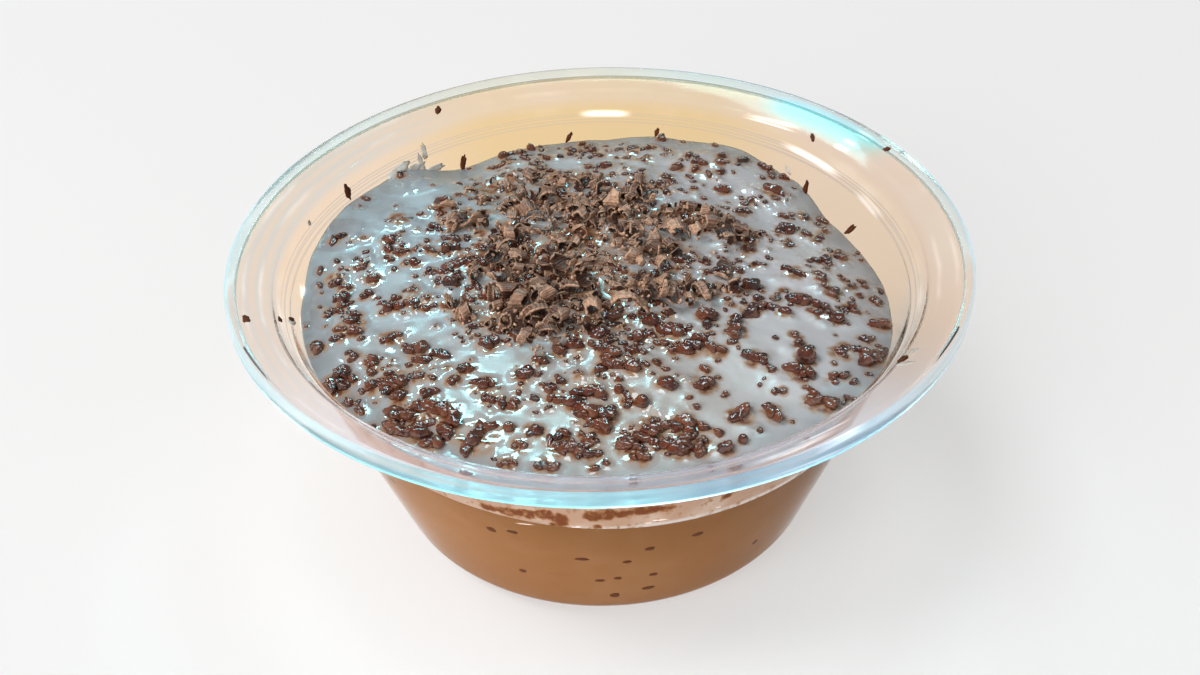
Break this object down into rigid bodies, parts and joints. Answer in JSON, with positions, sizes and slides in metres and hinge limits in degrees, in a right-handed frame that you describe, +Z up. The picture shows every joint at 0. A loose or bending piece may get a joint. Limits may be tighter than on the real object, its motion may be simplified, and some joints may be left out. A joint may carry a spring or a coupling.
{
  "type": "chocolate tapioca pudding in a cup",
  "caption": "Chocolate tapioca pudding in a clear round plastic cup, with a pale cream layer, melted chocolate bits and a loose heap of grated chocolate.",
  "frame": {"origin": "middle of the cup's foot, on the surface that it stands on", "axes": "+Z up, out of the cup's mouth; -Y towards the viewer of the picture"},
  "size_m": [0.117, 0.117, 0.0468],
  "materials": {
    "clear_plastic": "clear thin plastic, glossy, faintly warm",
    "caramel_pudding": "smooth caramel-brown milk pudding seen through the cup",
    "cream": "wet pale grey-beige cream",
    "chocolate": "dry milk chocolate, matt, finely ridged"
  },
  "bodies": {
    "root": {"cup": "clear_plastic", "pudding": "caramel_pudding", "cream": "cream", "shavings": "chocolate"}
  },
  "joints": []
}
